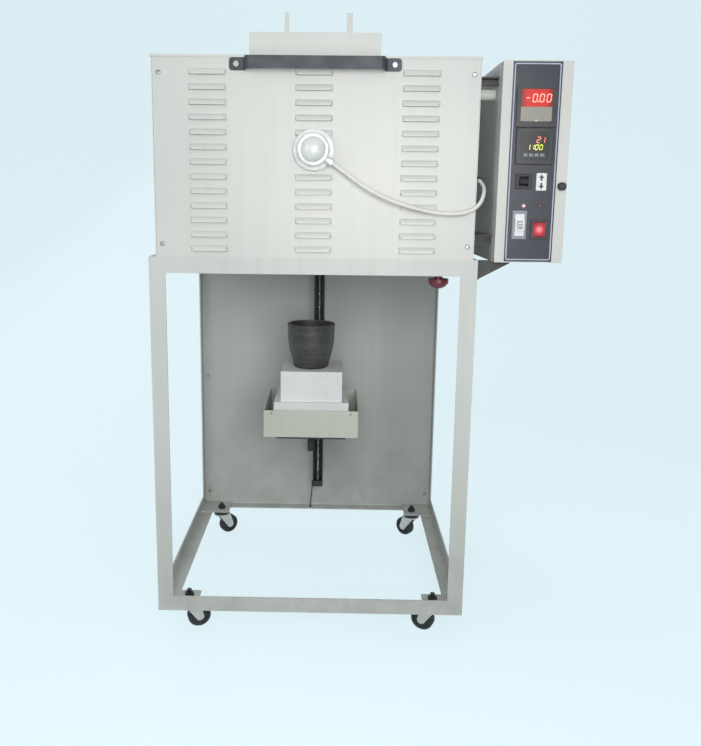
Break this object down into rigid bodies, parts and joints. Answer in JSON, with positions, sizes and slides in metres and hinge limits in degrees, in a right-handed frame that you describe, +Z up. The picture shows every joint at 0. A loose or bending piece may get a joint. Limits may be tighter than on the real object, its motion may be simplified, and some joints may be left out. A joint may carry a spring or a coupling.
{
  "type": "bottom loading furnace",
  "caption": "Bottom loading laboratory furnace on a castored angle-iron stand, with a screw-lifted hearth that carries a crucible into the chamber, and a control box at its side.",
  "frame": {"origin": "centre of the overall footprint, on the floor under the castors", "axes": "+Z up, +Y from the louvred front to the rear, +X towards the control box"},
  "size_m": [0.795, 0.6626, 1.287],
  "materials": {
    "body_paint": "satin",
    "stand_paint": "satin",
    "rear_paint": "satin",
    "tray_paint": "satin",
    "black_paint": "satin",
    "handle_paint": "satin",
    "zinc": "satin",
    "screw_steel": "satin",
    "head_alloy": "matte",
    "sheath_ceramic": "matte",
    "fibre": "matte",
    "refractory": "matte",
    "crucible_clay": "matte",
    "element_carbide": "matte",
    "clamp_alloy": "satin",
    "cable_jacket": "matte",
    "black_rubber": "matte",
    "castor_rubber": "matte",
    "motor_paint": "satin",
    "black_plastic": "matte",
    "fascia_print": "matte",
    "meter_case": "gloss",
    "pale_plastic": "satin",
    "conduit_plastic": "matte",
    "red_plastic": "gloss",
    "lamp_plastic": "gloss",
    "stop_plastic": "satin",
    "stop_base_plastic": "matte",
    "heat_sink": "satin"
  },
  "bodies": {
    "frame": {"stand_frame": "stand_paint", "side_panels": "body_paint", "back_panels": "rear_paint", "top_panel": "body_paint", "front_panel": "body_paint", "deck_plate": "body_paint", "insulation": "fibre", "inner_casing": "zinc", "heating_elements": "element_carbide", "element_clamps": "clamp_alloy", "terminal_cover": "body_paint", "cover_lugs": "body_paint", "front_handle": "handle_paint", "body_screws": "screw_steel", "thermocouple_head": "head_alloy", "thermocouple_cap": "head_alloy", "thermocouple_gland": "head_alloy", "thermocouple_sheath": "sheath_ceramic", "thermocouple_cable": "cable_jacket", "cable_grommet": "black_rubber", "lift_column": "black_paint", "gear_motor": "motor_paint", "limit_switch": "black_plastic", "earth_lead": "black_plastic", "castor_stems": "zinc", "control_box": "body_paint", "box_brackets": "black_paint", "cable_conduit": "conduit_plastic", "mains_gland": "black_plastic", "control_gear": "heat_sink", "stop_base": "stop_base_plastic"},
    "hearth": {"lift_carriage": "black_paint", "hearth_bracket": "black_paint", "hearth_tray": "tray_paint", "tray_screws": "screw_steel", "hearth_slab": "refractory", "hearth_bricks": "refractory", "crucible": "crucible_clay"},
    "screw": {"lead_screw": "screw_steel"},
    "door": {"control_door": "body_paint", "panel_fascia": "fascia_print", "current_meter": "meter_case", "temperature_controller": "meter_case", "lift_switch": "black_plastic", "circuit_breaker": "pale_plastic", "power_switch": "meter_case", "indicator_lamps": "lamp_plastic"},
    "knob": {"door_knob": "black_plastic"},
    "paddle": {"lift_paddle": "black_plastic"},
    "toggle": {"breaker_toggle": "pale_plastic"},
    "rocker": {"power_rocker": "red_plastic"},
    "stop": {"stop_button": "stop_plastic"},
    "fork_fl": {"castor_fork_fl": "zinc"},
    "wheel_fl": {"castor_wheel_fl": "castor_rubber"},
    "fork_fr": {"castor_fork_fr": "zinc"},
    "wheel_fr": {"castor_wheel_fr": "castor_rubber"},
    "fork_rl": {"castor_fork_rl": "zinc"},
    "wheel_rl": {"castor_wheel_rl": "castor_rubber"},
    "fork_rr": {"castor_fork_rr": "zinc"},
    "wheel_rr": {"castor_wheel_rr": "castor_rubber"}
  },
  "joints": [
    {"name": "hearth_lift", "type": "slide", "parent": "frame", "child": "hearth", "axis": [0, 0, 1], "range_m": [0, 0.341]},
    {"name": "lead_screw_turn", "type": "hinge", "parent": "frame", "child": "screw", "pos_m": [-0.0745, 0.26625, 0.465], "axis": [0, 0, 1], "continuous": true},
    {"name": "control_door_hinge", "type": "hinge", "parent": "frame", "child": "door", "pos_m": [0.274, -0.30075, 0.992], "axis": [0, 0, 1], "range_deg": [-95, 0]},
    {"name": "door_knob_turn", "type": "hinge", "parent": "door", "child": "knob", "pos_m": [0.387, -0.31375, 0.951], "axis": [0, 1, 0], "range_deg": [0, 90]},
    {"name": "lift_paddle_rock", "type": "hinge", "parent": "door", "child": "paddle", "pos_m": [0.316, -0.30555, 0.9595], "axis": [1, 0, 0], "range_deg": [-12, 12], "stiffness_Nm_per_rad": 0.05},
    {"name": "breaker_toggle_flip", "type": "hinge", "parent": "door", "child": "toggle", "pos_m": [0.3125, -0.30855, 0.879], "axis": [1, 0, 0], "range_deg": [0, 40]},
    {"name": "power_rocker_tilt", "type": "hinge", "parent": "door", "child": "rocker", "pos_m": [0.35, -0.30555, 0.871], "axis": [1, 0, 0], "range_deg": [-14, 0]},
    {"name": "stop_button_press", "type": "slide", "parent": "frame", "child": "stop", "axis": [0, 0, 1], "range_m": [0, 0.005], "stiffness_N_per_m": 800},
    {"name": "castor_swivel_fl", "type": "hinge", "parent": "frame", "child": "fork_fl", "pos_m": [-0.3415, -0.22975, 0.055], "axis": [0, 0, 1], "continuous": true},
    {"name": "castor_wheel_spin_fl", "type": "hinge", "parent": "fork_fl", "child": "wheel_fl", "pos_m": [-0.32271, -0.22291, 0.025], "axis": [-0.342, 0.9397, 0], "continuous": true},
    {"name": "castor_swivel_fr", "type": "hinge", "parent": "frame", "child": "fork_fr", "pos_m": [0.1865, -0.22975, 0.055], "axis": [0, 0, 1], "continuous": true},
    {"name": "castor_wheel_spin_fr", "type": "hinge", "parent": "fork_fr", "child": "wheel_fr", "pos_m": [0.16837, -0.2213, 0.025], "axis": [-0.4226, -0.9063, 0], "continuous": true},
    {"name": "castor_swivel_rl", "type": "hinge", "parent": "frame", "child": "fork_rl", "pos_m": [-0.3415, 0.27725, 0.055], "axis": [0, 0, 1], "continuous": true},
    {"name": "castor_wheel_spin_rl", "type": "hinge", "parent": "fork_rl", "child": "wheel_rl", "pos_m": [-0.32512, 0.28872, 0.025], "axis": [-0.5736, 0.8192, 0], "continuous": true},
    {"name": "castor_swivel_rr", "type": "hinge", "parent": "frame", "child": "fork_rr", "pos_m": [0.1865, 0.27725, 0.055], "axis": [0, 0, 1], "continuous": true},
    {"name": "castor_wheel_spin_rr", "type": "hinge", "parent": "fork_rr", "child": "wheel_rr", "pos_m": [0.17118, 0.29011, 0.025], "axis": [-0.6428, -0.766, 0], "continuous": true}
  ],
  "couplings": [
    {"joint": "lead_screw_turn", "follows": "hearth_lift", "rad_per_m": 628.32}
  ]
}
